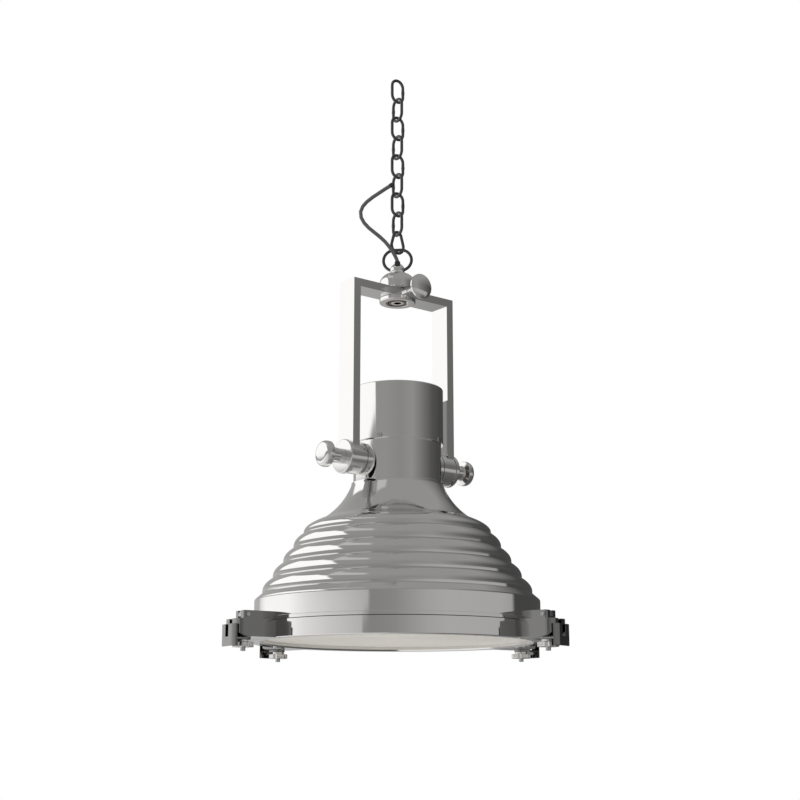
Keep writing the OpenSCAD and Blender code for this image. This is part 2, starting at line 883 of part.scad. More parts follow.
// The outside of the shade from the flange up to the collar, with each rib one curve
DRUM = rounded([[drum_r, flange_low], [drum_r, drum_top], [rib_r, rib_low]], drum_round);
RIBS = [
    for (i = [0 : rib_count - 1])
        let (low = [rib_r - i * rib_in, rib_low + i * rib_rise],
             top = i < rib_count - 1 ? low + [-rib_in, rib_rise] : flare_foot,
             arc = curve(low, low + [0, rib_face], top, 6))
        for (k = [0 : 5]) arc[k]
];
OUTSIDE = concat(
    [for (i = [0 : len(DRUM) - 2]) DRUM[i]], RIBS,
    curve(flare_foot, flare_pull, [collar_out_r, flare_top], 9), [[collar_out_r, shade_top]]);

module shade() {
    wall = shifted(OUTSIDE, shade_wall);
    color(POLISHED)
        in_lamp()
            difference() {
                rotate_extrude() {
                    polygon(concat(OUTSIDE, [[neck_r + fit_gap, shade_top], [neck_r + fit_gap, flare_top - 1]],
                                   reversed([for (i = [0 : len(wall) - 3]) wall[i]])));
                    polygon([[drum_r - shade_wall, flange_low], [flange_r, flange_low],
                             [flange_r, flange_top], [drum_r - shade_wall, flange_top]]);
                    polygon([[spigot_r - 3.5, gasket_top], [spigot_r, gasket_top],
                             [spigot_r, flange_low], [drum_r - shade_wall, flange_top],
                             [spigot_r - 3.5, flange_top]]);
                }
                for (a = CLAMP_ANGLES)
                    rotate([0, 90, a - 90])
                        translate([-rivet_h, 0, drum_r - rivet_l])
                            cylinder(r = rivet_r + fit_gap, h = rivet_l + shade_wall);
            }
}

// Clamps

module hinge_lugs() {
    color(DARK_STEEL)
        for (i = [0 : 3])
            difference() {
                at_clamp(i)
                    difference() {
                        translate([0, 0, lug_low])
                            linear_extrude(height = lug_h)
                                slab(drum_r - bolt_circle - 6, bolt_eye_r, lug_half, 3);
                        translate([-bolt_eye_r - 2, -clevis_half, lug_low - 1])
                            cube([3 * bolt_eye_r + 4, 2 * clevis_half, lug_h + 2]);
                        translate([0, lug_half + 1, pivot_h])
                            rotate([90, 0, 0])
                                cylinder(r = pin_r + fit_gap, h = 2 * lug_half + 2);
                        translate([drum_r - bolt_circle - rivet_l, 0, rivet_h])
                            rotate([0, 90, 0])
                                cylinder(r = rivet_r + fit_gap, h = 2 * rivet_l);
                    }
                in_lamp() {
                    cylinder(r = flange_r + fit_gap, h = flange_top + fit_gap);
                    cylinder(r = drum_r + fit_gap, h = drum_top);
                }
            }
}

module lug_rivets() {
    wall_in = drum_r - shade_wall;
    color("silver")
        in_lamp()
            for (a = CLAMP_ANGLES)
                rotate([0, 90, a - 90])
                    translate([-rivet_h, 0, 0]) {
                        translate([0, 0, wall_in - 2])
                            cylinder(r = rivet_r, h = rivet_l);
                        translate([0, 0, wall_in - 2])
                            cylinder(r = rivet_head_r, h = 1.6);
                    }
}

module pivot_pins() {
    color("silver")
        for (i = [0 : 3])
            at_clamp(i)
                translate([0, lug_half + 1, pivot_h])
                    rotate([90, 0, 0])
                        cylinder(r = pin_r, h = 2 * lug_half + 2);
}

module swing_bolt(i) {
    color("silver")
        at_clamp(i)
            difference() {
                union() {
                    translate([0, bolt_eye_w / 2, pivot_h])
                        rotate([90, 0, 0])
                            cylinder(r = bolt_eye_r, h = bolt_eye_w);
                    translate([0, 0, bolt_low])
                        cylinder(r = bolt_r, h = pivot_h - bolt_low);
                }
                translate([0, bolt_eye_w, pivot_h])
                    rotate([90, 0, 0])
                        cylinder(r = pin_r + run_gap, h = 2 * bolt_eye_w);
            }
}

// The shoe's plate lies under the bezel's lug, and its cheek wraps the lug's outer end
module clamp_shoe(i) {
    inner = bezel_lug_out + free_gap;
    plate_half = nut_hub_r + 1;
    color(DARK_STEEL)
        at_clamp(i)
            difference() {
                union() {
                    translate([0, 0, shoe_low])
                        linear_extrude(height = shoe_t) {
                            translate([0, -plate_half])
                                square([inner + cheek_t / 2, 2 * plate_half]);
                            circle(r = plate_half);
                        }
                    intersection() {
                        translate([0, 0, -cheek_drop])
                            linear_extrude(height = cheek_drop + cheek_top)
                                slab(0, inner + cheek_t, bezel_lug_half, bezel_lug_half / 2);
                        translate([inner, -bezel_lug_half, -cheek_drop])
                            cube([cheek_t, 2 * bezel_lug_half, cheek_drop + cheek_top]);
                    }
                }
                translate([0, 0, shoe_low - 1])
                    cylinder(r = bolt_r + free_gap, h = shoe_t + 2);
                translate([inner - 1, -slot_half, 0])
                    cube([cheek_t + 2, 2 * slot_half, cheek_top + 1]);
            }
}

module thumb_nut(i) {
    hub_low = shoe_low - nut_hub_h;
    color(POLISHED)
        at_clamp(i)
            difference() {
                rotate_extrude()
                    polygon([[0, shoe_low], [nut_hub_r, shoe_low], [nut_hub_r, hub_low],
                             [nut_flange_r - 1, hub_low], [nut_flange_r, hub_low - 1],
                             [nut_flange_r, nut_low + 1], [nut_flange_r - 1, nut_low], [0, nut_low]]);
                translate([0, 0, nut_low - 1])
                    cylinder(r = bolt_r + run_gap, h = nut_flange_h + nut_hub_h + 2);
            }
}

// Lens and bezel

module gasket() {
    color("black")
        in_lamp()
            translate([0, 0, lens_top])
                difference() {
                    cylinder(r = spigot_r, h = gasket_t);
                    translate([0, 0, -1])
                        cylinder(r = spigot_r - gasket_w, h = gasket_t + 2);
                }
}

module lens() {
    color("linen")
        in_lamp()
            translate([0, 0, lip_h])
                cylinder(r = bezel_in - fit_gap, h = lens_t);
}

// The lug's underside is round about the pivot pin, so that the shoe can swing out
module bezel_lug(i) {
    reach = bezel_in + 1 - bolt_circle;
    at_clamp(i)
        difference() {
            intersection() {
                linear_extrude(height = bezel_h)
                    slab(reach, bezel_lug_out, bezel_lug_half, bezel_lug_half / 2);
                union() {
                    translate([reach - 1, -bezel_lug_half - 1, 0])
                        cube([1 - reach, 2 * bezel_lug_half + 2, bezel_h]);
                    translate([0, bezel_lug_half + 1, pivot_h])
                        rotate([90, 0, 0])
                            cylinder(r = pivot_h, h = 2 * bezel_lug_half + 2);
                }
            }
            translate([0, 0, -1])
                linear_extrude(height = bezel_h + 2) {
                    circle(r = slot_half);
                    translate([0, -slot_half])
                        square([bezel_lug_out + 1, 2 * slot_half]);
                }
        }
}

module bezel() {
    color(POLISHED) {
        in_lamp()
            rotate([0, 0, clamp_yaw - 90])
                rotate_extrude()
                    polygon([[lip_r + 2, 0], [bezel_r - 0.8, 0], [bezel_r, 0.8], [bezel_r, bezel_h],
                             [bezel_in, bezel_h], [bezel_in, lip_h], [lip_r, lip_h], [lip_r, 2]]);
        for (i = [0 : 3])
            bezel_lug(i);
    }
}

chain_link(1);  // chain_link_1
chain_link(2);  // chain_link_2
chain_link(3);  // chain_link_3
chain_link(4);  // chain_link_4
chain_link(5);  // chain_link_5
chain_link(6);  // chain_link_6
chain_link(7);  // chain_link_7
chain_link(8);  // chain_link_8
tapered_link();
suspension_ring();
hanger_head();
cord_bush();
power_cord();
cord_sleeve();
swivel_washer();
retaining_collar();
stem_nut();
thumbscrew();
yoke_frame();
yoke_wire();
friction_washers();
flange_washers();
trunnion_studs();
clamp_knob(-1);  // clamp_knob_left
clamp_knob(1);  // clamp_knob_right
neck();
neck_cap();
cap_latches();
lampholder_bracket();
bracket_screws();
lampholder();
screw_shell();
centre_contact();
bulb_cap();
bulb_glass();
terminal_block();
neck_wire();
shade();
hinge_lugs();
lug_rivets();
pivot_pins();
swing_bolt(0);  // swing_bolt_1
swing_bolt(1);  // swing_bolt_2
swing_bolt(2);  // swing_bolt_3
swing_bolt(3);  // swing_bolt_4
clamp_shoe(0);  // clamp_shoe_1
clamp_shoe(1);  // clamp_shoe_2
clamp_shoe(2);  // clamp_shoe_3
clamp_shoe(3);  // clamp_shoe_4
thumb_nut(0);  // thumb_nut_1
thumb_nut(1);  // thumb_nut_2
thumb_nut(2);  // thumb_nut_3
thumb_nut(3);  // thumb_nut_4
gasket();
lens();
bezel();
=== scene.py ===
# %% [markdown]
# # A ribbed pendant light
# The lamp hangs from a dark chain. A square yoke of flat tube swivels under a turned head, and a
# spun, ribbed shade tilts between the yoke's arms. Nearly all of it is polished nickel, so the
# lesson is about clean turned shapes, small rounded edges, and something worth reflecting.

# %% Load the model
import math

import bpy
from mathutils import Matrix, Vector


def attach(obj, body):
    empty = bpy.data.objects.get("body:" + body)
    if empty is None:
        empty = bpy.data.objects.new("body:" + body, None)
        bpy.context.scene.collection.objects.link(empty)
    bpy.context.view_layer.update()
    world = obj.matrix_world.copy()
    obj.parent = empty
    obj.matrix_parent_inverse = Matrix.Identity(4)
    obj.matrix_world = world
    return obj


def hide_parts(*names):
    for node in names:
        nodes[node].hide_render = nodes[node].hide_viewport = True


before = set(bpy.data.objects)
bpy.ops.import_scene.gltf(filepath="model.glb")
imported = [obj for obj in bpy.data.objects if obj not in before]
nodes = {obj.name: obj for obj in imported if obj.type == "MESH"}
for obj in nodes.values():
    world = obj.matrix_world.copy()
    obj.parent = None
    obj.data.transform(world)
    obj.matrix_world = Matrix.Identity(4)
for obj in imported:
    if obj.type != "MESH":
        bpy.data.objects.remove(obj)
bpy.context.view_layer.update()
MM = 0.001

# %% [markdown]
# ## Camera
# The photographer stood low and to the lamp's left corner, and looked up a little, so the rim
# shows its underside. The lens and the place come from the ellipses of the shade and the bezel.

# %% Camera
LOOK_FLAT = Vector((0.616, 0.788, 0))
RIGHT = Vector((0.788, -0.616, 0))
UP = Vector((0, 0, 1))
TILT = math.radians(13.51)
CAMERA_PLACE = (-1.1245, -1.4442, -0.910)
SENSOR_WIDTH, FOCAL_LENGTH = 36, 62.28

bpy.ops.object.camera_add(location=CAMERA_PLACE)
camera = bpy.context.object
look = LOOK_FLAT.normalized() * math.cos(TILT) + UP * math.sin(TILT)
camera.rotation_euler = look.to_track_quat("-Z", "Y").to_euler()
camera.data.sensor_width = SENSOR_WIDTH
camera.data.lens = FOCAL_LENGTH
bpy.context.scene.camera = camera
print("camera at", tuple(round(x, 3) for x in camera.location))

# %% [markdown]
# ## Power cord
# A short stiff mains cord leaves the head's knob, bows out to the left and comes back beside the
# chain, where it was cut off for wiring. It is drawn as a curve with a round section, through the
# same points as the solid that it stands for.

# %% Power cord
CORD_D = 5.2 * MM
CORD_ROUTE = [
    (-4, -5, -280.75), (-4, -5, -275), (-5.2, -4.9, -271), (-7.5, -4, -266), (-11.2, -3, -260),
    (-15.4, -1, -253.5), (-20.4, 2, -246.5), (-26.5, 5.5, -240), (-33.5, 9, -234),
    (-40.5, 12.5, -228), (-46.8, 15.4, -221), (-51, 16.8, -213.5), (-52.4, 16.2, -205.5),
    (-50.6, 13.6, -198), (-46.6, 9.4, -191.5), (-41.9, 3.2, -186), (-36.5, -2.6, -181),
    (-31.2, -8.2, -176), (-26.1, -13.3, -171.5), (-22.1, -16.9, -168),
]
route = [Vector(p) * MM for p in CORD_ROUTE]

line = bpy.data.curves.new("power_cord_line", "CURVE")
line.dimensions = "3D"
spline = line.splines.new("POLY")
spline.points.add(len(route) - 1)
for knot, p in zip(spline.points, route):
    knot.co = (*p, 1)
line.bevel_depth = CORD_D / 2
line.bevel_resolution = 5
line.use_fill_caps = True
cord = bpy.data.objects.new("cord_flex", line)
bpy.context.scene.collection.objects.link(cord)

# %% [markdown]
# ## Finishes
# Polished nickel is a mirror with a soft grey tint. What makes it look like metal is what it
# reflects, and tiny flaws: a faint haze where it has been wiped, and hair lines from the lathe.
# Both flaws are node groups, so that every finish can use them with its own values.

# %% Node groups for haze and hair lines
def new_group(name, inputs, outputs):
    group = bpy.data.node_groups.new(name, "ShaderNodeTree")
    for label, value in inputs.items():
        socket = group.interface.new_socket(
            label, in_out="INPUT", socket_type="NodeSocketFloat")
        socket.default_value = value
    for label in outputs:
        group.interface.new_socket(label, in_out="OUTPUT", socket_type="NodeSocketFloat")
    return group, group.nodes.new("NodeGroupInput"), group.nodes.new("NodeGroupOutput")


def link(tree, source, target):
    tree.links.new(source, target)


haze, given, put = new_group(
    "wiped_haze", {"Size": 12, "Clean": 0.06, "Hazy": 0.14}, ["Roughness", "Height"])
place = haze.nodes.new("ShaderNodeTexCoord")
cloud = haze.nodes.new("ShaderNodeTexNoise")
cloud.inputs["Detail"].default_value = 6
cloud.inputs["Roughness"].default_value = 0.65
spread = haze.nodes.new("ShaderNodeMapRange")
spread.inputs["From Min"].default_value = 0.35
spread.inputs["From Max"].default_value = 0.75
link(haze, place.outputs["Object"], cloud.inputs["Vector"])
link(haze, given.outputs["Size"], cloud.inputs["Scale"])
link(haze, cloud.outputs["Fac"], spread.inputs["Value"])
link(haze, given.outputs["Clean"], spread.inputs["To Min"])
link(haze, given.outputs["Hazy"], spread.inputs["To Max"])
link(haze, spread.outputs["Result"], put.inputs["Roughness"])
link(haze, cloud.outputs["Fac"], put.inputs["Height"])

lathe, given, put = new_group("lathe_lines", {"Lines per metre": 900}, ["Height"])
place = lathe.nodes.new("ShaderNodeTexCoord")
split = lathe.nodes.new("ShaderNodeSeparateXYZ")
grain = lathe.nodes.new("ShaderNodeTexNoise")
grain.noise_dimensions = "1D"
grain.inputs["Detail"].default_value = 3
link(lathe, place.outputs["Object"], split.inputs["Vector"])
link(lathe, split.outputs["Z"], grain.inputs["W"])
link(lathe, given.outputs["Lines per metre"], grain.inputs["Scale"])
link(lathe, grain.outputs["Fac"], put.inputs["Height"])
print("groups", haze.name, lathe.name)

# %% Metal finishes
def new_finish(name, colour, metallic):
    finish = bpy.data.materials.new(name)
    finish.use_nodes = True
    shader = finish.node_tree.nodes["Principled BSDF"]
    shader.inputs["Base Color"].default_value = (*colour, 1)
    shader.inputs["Metallic"].default_value = metallic
    return finish, shader


def place_group(finish, group, **values):
    node = finish.node_tree.nodes.new("ShaderNodeGroup")
    node.node_tree = group
    for label, value in values.items():
        node.inputs[label.replace("_", " ")].default_value = value
    return node


def raise_surface(finish, shader, height, depth):
    bump = finish.node_tree.nodes.new("ShaderNodeBump")
    bump.inputs["Strength"].default_value = 1
    bump.inputs["Distance"].default_value = depth * MM
    link(finish.node_tree, height, bump.inputs["Height"])
    link(finish.node_tree, bump.outputs["Normal"], shader.inputs["Normal"])


def metal(name, colour, clean, hazy, size=12, lines=0, depth=0.01):
    finish, shader = new_finish(name, colour, 1)
    wipe = place_group(finish, haze, Size=size, Clean=clean, Hazy=hazy)
    link(finish.node_tree, wipe.outputs["Roughness"], shader.inputs["Roughness"])
    height = wipe.outputs["Height"]
    if lines:
        height = place_group(finish, lathe, Lines_per_metre=lines).outputs["Height"]
    raise_surface(finish, shader, height, depth)
    return finish


NICKEL_TINT = (0.76, 0.75, 0.735)
nickel = metal("polished_nickel", NICKEL_TINT, 0.05, 0.11)
nickel_spun = metal("spun_nickel", NICKEL_TINT, 0.06, 0.12, lines=500, depth=0.004)
gunmetal = metal("dark_gunmetal", (0.115, 0.115, 0.12), 0.28, 0.5, size=160, depth=0.05)
# Clamp nickel is the polished nickel darkened: painted shade for the dark surroundings that the
# clamps and the bezel's lugs reflect.
shaded_clamp_nickel = metal("shaded_clamp_nickel", (0.25, 0.247, 0.243), 0.07, 0.14)
steel = metal("plain_steel", (0.52, 0.52, 0.52), 0.22, 0.38, size=90)
brass = metal("plain_brass", (0.62, 0.45, 0.2), 0.25, 0.4, size=90)
# The stem nut's brass is darkened to a bronze tone: painted shade for the collar's recess.
shaded_brass = metal("brass_in_recess_shade", (0.24, 0.16, 0.075), 0.3, 0.45, size=90)
metals = (nickel, nickel_spun, gunmetal, shaded_clamp_nickel, steel, brass, shaded_brass)
print("metals", [finish.name for finish in metals])

# %% Rubber, ceramic and glass finishes
def plain_finish(name, colour, rough_low, rough_high, size, depth):
    finish, shader = new_finish(name, colour, 0)
    cloudy = place_group(finish, haze, Size=size, Clean=rough_low, Hazy=rough_high)
    link(finish.node_tree, cloudy.outputs["Roughness"], shader.inputs["Roughness"])
    raise_surface(finish, shader, cloudy.outputs["Height"], depth)
    return finish


cord_rubber = plain_finish("cord_rubber", (0.085, 0.085, 0.09), 0.35, 0.6, 300, 0.1)
black_rubber = plain_finish("black_rubber", (0.02, 0.02, 0.02), 0.6, 0.8, 200, 0.1)
fibre = plain_finish("pressed_fibre", (0.06, 0.05, 0.045), 0.7, 0.9, 250, 0.1)
ceramic = plain_finish("glazed_ceramic", (0.8, 0.78, 0.72), 0.12, 0.25, 60, 0.05)
bulb_frost = plain_finish("bulb_frost", (0.9, 0.88, 0.82), 0.3, 0.4, 60, 0.02)
frosted = plain_finish("frosted_lens", (0.86, 0.82, 0.75), 0.3, 0.45, 120, 0.03)
cloudy_glass = frosted.node_tree.nodes["Principled BSDF"]
cloudy_glass.inputs["Subsurface Weight"].default_value = 0.2
cloudy_glass.inputs["Subsurface Radius"].default_value = (0.01, 0.008, 0.006)
plain = (cord_rubber, black_rubber, fibre, ceramic, bulb_frost, frosted)
print("other finishes", [finish.name for finish in plain])

# %% [markdown]
# ## Tools for turned pieces
# Most of the lamp comes off a lathe. A turned piece starts as a single corner point, which is
# extruded from point to point along the piece's outline, and the outline is then spun round.
# Sharp corners never look like metal, so the outline's corners are rounded first. Smooth shading
# would then bend the look of the long walls beside them, and a mirror shows that at once, so the
# shading is weighted by the size of the faces, which leaves a flat wall flat.

# %% Outlines
def rounded(corners, steps=4):
    points = []
    for i, corner in enumerate(corners):
        p = Vector(corner[:2])
        if len(corner) < 3:
            points.append(p)
            continue
        a = (Vector(corners[i - 1][:2]) - p).normalized()
        b = (Vector(corners[(i + 1) % len(corners)][:2]) - p).normalized()
        half = a.angle(b) / 2
        centre = p + (a + b).normalized() * corner[2] / math.sin(half)
        begin = p + a * corner[2] / math.tan(half) - centre
        end = p + b * corner[2] / math.tan(half) - centre
        sweep = begin.angle_signed(end)
        for k in range(steps + 1):
            points.append(centre + Matrix.Rotation(-sweep * k / steps, 2) @ begin)
    return points


def bezier(a, b, c, steps):
    a, b, c = Vector(a), Vector(b), Vector(c)
    shares = [k / steps for k in range(steps + 1)]
    return [(1 - s) ** 2 * a + 2 * s * (1 - s) * b + s * s * c for s in shares]


# %% Spin and dress
MERGE_GAP = 0.002 * MM
SMOOTH_ANGLE = 35


def start_clean():
    if bpy.context.object and bpy.context.object.mode != "OBJECT":
        bpy.ops.object.mode_set(mode="OBJECT")
    bpy.ops.object.select_all(action="DESELECT")


def drawn(name, points):
    start_clean()
    bpy.ops.mesh.primitive_plane_add(size=MM)
    piece = bpy.context.object
    piece.name = name
    bpy.ops.object.mode_set(mode="EDIT")
    bpy.ops.mesh.select_mode(type="VERT")
    bpy.ops.mesh.select_all(action="SELECT")
    bpy.ops.mesh.merge(type="CENTER")
    bpy.ops.transform.translate(value=points[0])
    for a, b in zip(points, points[1:]):
        bpy.ops.mesh.extrude_vertices_move(TRANSFORM_OT_translate={"value": b - a})
    return piece


def smooth_with_flat_walls(angle=SMOOTH_ANGLE):
    bpy.ops.object.shade_smooth_by_angle(angle=math.radians(angle))
    piece = bpy.context.object
    weighted = piece.modifiers.new("flat_walls", "WEIGHTED_NORMAL")
    weighted.keep_sharp = True
    bpy.ops.object.modifier_apply(modifier=weighted.name)


def seal_and_smooth(angle=SMOOTH_ANGLE):
    bpy.ops.mesh.select_all(action="SELECT")
    bpy.ops.mesh.remove_doubles(threshold=MERGE_GAP)
    bpy.ops.mesh.normals_make_consistent(inside=False)
    bpy.ops.object.mode_set(mode="OBJECT")
    smooth_with_flat_walls(angle)


def turned(name, outline, foot=(0, 0, 0), axis=(0, 0, 1), steps=96, ring=True,
           angle=SMOOTH_ANGLE):
    foot, axis = Vector(foot), Vector(axis)
    across = axis.orthogonal().normalized()
    points = [foot + across * p[0] * MM + axis * p[1] * MM for p in outline]
    if ring:
        points.append(points[0])
    piece = drawn(name, points)
    bpy.ops.mesh.select_all(action="SELECT")
    bpy.ops.mesh.spin(steps=steps, angle=2 * math.pi, center=foot, axis=axis)
    seal_and_smooth(angle)
    return piece


def dress(piece, finish, body, slot, *stands_for):
    piece.data.materials.clear()
    piece.data.materials.append(finish)
    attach(piece, body)
    if stands_for:
        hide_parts(*stands_for)
    print(piece.name, "on", body, "faces", len(piece.data.polygons))


# %% [markdown]
# ## Tools for wires and plates
# A chain link is a round wire, bent twice. Its round section is spun through each bend and
# extruded along each straight. A cast or milled plate starts from a copy of its solid, whose
# loose triangles are joined into clean faces, and whose edges are then rounded by a bevel.

# %% Copies with rounded edges, and copies in new places
FLAT_ENOUGH = math.radians(0.5)


def softened(name, node, width, segments=3, angle=30):
    start_clean()
    piece = nodes[node].copy()
    piece.data = nodes[node].data.copy()
    piece.name = name
    for key in list(piece.keys()):
        del piece[key]
    piece.parent = None
    bpy.context.scene.collection.objects.link(piece)
    bpy.context.view_layer.objects.active = piece
    piece.select_set(True)
    bpy.ops.mesh.customdata_custom_splitnormals_clear()
    bpy.ops.object.mode_set(mode="EDIT")
    bpy.ops.mesh.select_all(action="SELECT")
    bpy.ops.mesh.remove_doubles(threshold=MERGE_GAP)
    bpy.ops.mesh.dissolve_limited(angle_limit=FLAT_ENOUGH)
    bpy.ops.object.mode_set(mode="OBJECT")
    bevel = piece.modifiers.new("rounded_edges", "BEVEL")
    bevel.width = width * MM
    bevel.segments = segments
    bevel.limit_method = "ANGLE"
    bevel.angle_limit = math.radians(angle)
    bpy.ops.object.modifier_apply(modifier=bevel.name)
    smooth_with_flat_walls()
    return piece


def settle(piece, turn=0, move=(0, 0, 0)):
    start_clean()
    bpy.context.view_layer.objects.active = piece
    piece.select_set(True)
    piece.rotation_euler = (0, 0, turn)
    piece.location = move
    bpy.ops.object.transform_apply(location=True, rotation=True, scale=True)


def repeated(piece, name, turn=0, move=(0, 0, 0)):
    copy = piece.copy()
    copy.data = piece.data.copy()
    copy.name = name
    bpy.context.scene.collection.objects.link(copy)
    settle(copy, turn, move)
    return copy


# %% Bent wire
def wire_start(name, place, turn, radius, sides=16):
    start_clean()
    bpy.ops.mesh.primitive_circle_add(
        vertices=sides, radius=radius * MM, location=Vector(place) * MM, rotation=turn)
    piece = bpy.context.object
    piece.name = name
    bpy.ops.object.transform_apply(location=True, rotation=True, scale=True)
    bpy.ops.object.mode_set(mode="EDIT")
    bpy.ops.mesh.select_all(action="SELECT")
    return piece


def wire_bend(centre, axis, degrees, steps=14):
    bpy.ops.mesh.spin(
        steps=steps, angle=math.radians(degrees), center=Vector(centre) * MM, axis=axis)


def wire_run(move, swell=1.0):
    scales = (1, swell, swell, 1 / swell, 1 / swell, 1)
    step = Vector(move) * MM / len(scales)
    for scale in scales:
        bpy.ops.mesh.extrude_region_move(TRANSFORM_OT_translate={"value": step})
        if scale != 1:
            bpy.ops.transform.resize(value=(scale, scale, scale))


# %% [markdown]
# ## Chain, tapered link and ring
# The chain is of welded oval links, every second one turned by a quarter. The weld is a small
# swelling on one side. Under it hang a tapered link and a wide ring, bent from the same wire.

# %% Chain links
WIRE_R = 2.1
LINK_COUNT = 8
LINK_IN, LINK_IN_W, LINK_PITCH = 29.1, 15.1, 28.85
WELD_SWELL = 1.1
bend_r = LINK_IN_W / 2 + WIRE_R
bend_z = LINK_IN / 2 - LINK_IN_W / 2

oval = wire_start("chain_wire_1", (bend_r, 0, -bend_z), (0, 0, 0), WIRE_R)
wire_run((0, 0, 2 * bend_z), swell=WELD_SWELL)
wire_bend((0, 0, bend_z), (0, 1, 0), 180)
wire_run((0, 0, -2 * bend_z))
wire_bend((0, 0, -bend_z), (0, 1, 0), 180)
seal_and_smooth()
links = [oval]
for k in range(2, LINK_COUNT + 1):
    quarter = math.radians(90 if k % 2 == 0 else 0)
    hang = (0, 0, (-LINK_IN / 2 - (k - 1) * LINK_PITCH) * MM)
    links.append(repeated(oval, f"chain_wire_{k}", turn=quarter, move=hang))
settle(oval, move=(0, 0, -LINK_IN / 2 * MM))
for k, piece in enumerate(links, 1):
    dress(piece, gunmetal, f"chain_{k}", "dark_steel", f"chain_link_{k}")

# %% Tapered link
TAPER_TOP, TAPER_LOW = -230.8, -257.4
TOP_W, LOW_W = 9, 16.6
top_r, low_r = TOP_W / 2 + WIRE_R, LOW_W / 2 + WIRE_R
top_z, low_z = TAPER_TOP - TOP_W / 2, TAPER_LOW + LOW_W / 2
lean = math.asin((low_r - top_r) / (top_z - low_z))
low_end = Vector((low_r * math.cos(lean), 0, low_z + low_r * math.sin(lean)))
top_end = Vector((top_r * math.cos(lean), 0, top_z + top_r * math.sin(lean)))
mirror_x = Matrix.Diagonal((-1, 1, 1))
taper = wire_start("tapered_wire", low_end, (0, -lean, 0), WIRE_R)
wire_run(top_end - low_end)
wire_bend((0, 0, top_z), (0, 1, 0), 180 - 2 * math.degrees(lean))
wire_run(mirror_x @ (low_end - top_end))
wire_bend((0, 0, low_z), (0, 1, 0), 180 + 2 * math.degrees(lean), steps=18)
seal_and_smooth()
dress(taper, gunmetal, "tapered", "dark_steel", "tapered_link")

# %% Suspension ring
EYE_Z = -285.25
RING_BEND = 15.1
RING_FLAT = 9.1
RING_YAW = math.radians(-45)
ring_z = EYE_Z + RING_BEND
hoop = wire_start(
    "suspension_hoop", (-RING_FLAT / 2, 0, -RING_BEND), (0, math.pi / 2, 0), WIRE_R)
wire_run((RING_FLAT, 0, 0))
wire_bend((RING_FLAT / 2, 0, 0), (0, 1, 0), 180, steps=20)
wire_run((-RING_FLAT, 0, 0))
wire_bend((-RING_FLAT / 2, 0, 0), (0, 1, 0), 180, steps=20)
seal_and_smooth()
settle(hoop, RING_YAW, (0, 0, ring_z * MM))
dress(hoop, gunmetal, "ring", "dark_steel", "suspension_ring")

# %% [markdown]
# ## Hanger head
# The head is one turned piece: a round knob with a cross hole for the ring, a slim waist, and a
# dome that sits on the yoke's bar. Its cross hole is more than a lathe makes, so it is a copy of
# its solid with eased edges. Below the bar a collar and a nut hold it, and a thumbscrew locks it.

# %% Head, collar and bush
HEAD_DROP, BAR_T, COLLAR_DROP = 30.8, 11, 6.3
BAR_TOP = EYE_Z - HEAD_DROP
BAR_LOW = BAR_TOP - BAR_T
head = softened("turned_head", "hanger_head", 0.5, angle=38)
dress(head, nickel, "head", "polished", "hanger_head")
collar_foot = (0, 0, (BAR_LOW - COLLAR_DROP) * MM)
collar = turned("bar_collar", rounded([
    (9.1, 6), (25, 6, 0.8), (25, 0, 1.6), (15.5, 0, 0.8), (15.5, 4, 0.4), (9.1, 4)]), collar_foot)
dress(collar, nickel, "head", "polished", "retaining_collar")
bush = turned("cord_boot", rounded([
    (2.6, 0), (4.2, 0), (4.2, 2.6, 0.3), (3.8, 3.0, 0.3), (3.8, 3.6, 0.3), (4.2, 4.0, 0.3),
    (4.1, 4.8, 0.3), (3.3, 6.9, 0.5), (2.6, 7)]), route[0], steps=40)
dress(bush, black_rubber, "head", "cord_rubber", "cord_bush")

# %% Thumbscrew
mid_bar = (BAR_TOP + BAR_LOW) / 2
thumb_side = [(0, 9.3)] + rounded([
    (4, 9.3, 0.4), (4, 45, 1.5), (7, 50, 0.8), (17.4, 50.3, 0.6), (17.4, 53)])
thumb_crown = bezier((17.2, 53.3), (10.5, 57.9), (0, 57.9), 12)
thumb = turned(
    "thumb_disc", thumb_side + thumb_crown, (0, 0, mid_bar * MM), (0, -1, 0), ring=False)
dress(thumb, nickel, "thumbscrew", "polished", "thumbscrew")

# %% [markdown]
# ## Yoke
# The yoke is square flat tube with mitred corners and crisp, slightly eased edges. It could be
# swept along a frame, but its solid already has the bosses and the bores, so a copy of that is
# joined into clean faces and its edges are eased by a bevel. It stays out of reflections, which
# would put its long dark bars on the ribs below. The washers and knobs beside it are turned.

# %% Yoke frame
yoke = softened("yoke_tube", "yoke_frame", 1.1)
yoke.visible_glossy = False
dress(yoke, nickel, "yoke", "polished", "yoke_frame")

# %% Washers and knobs on the trunnions
YOKE_DROP = 243
TRUNNION_Z = BAR_TOP - YOKE_DROP
WASHER_FACE, KNOB_FOOT = 92, 92.06
pivot = (0, 0, TRUNNION_Z * MM)
knob_bore = [(0, 110.3), (6.1, 110.3)]
knob_side = rounded([
    (6.1, KNOB_FOOT), (10, KNOB_FOOT, 0.4), (10, 112, 1.2), (17.2, 114, 0.8), (17.2, 118.3)])
knob_face = bezier((17.2, 118.5), (16.8, 125), (9, 125.3), 10) + [(0, 125.4)]
for sign, word in ((-1, "left"), (1, "right")):
    out = (sign, 0, 0)
    washer = turned(f"flange_washer_{word}", rounded([
        (6.1, 86), (22.5, 86, 0.4), (22.5, WASHER_FACE, 1.6), (6.1, WASHER_FACE)]), pivot, out)
    dress(washer, nickel, "yoke", "polished", *(["flange_washers"] if sign < 0 else []))
    knob = turned(
        f"clamp_handle_{word}", knob_bore + knob_side + knob_face, pivot, out, ring=False)
    dress(knob, nickel, f"knob_{word}", "polished", f"clamp_knob_{word}")

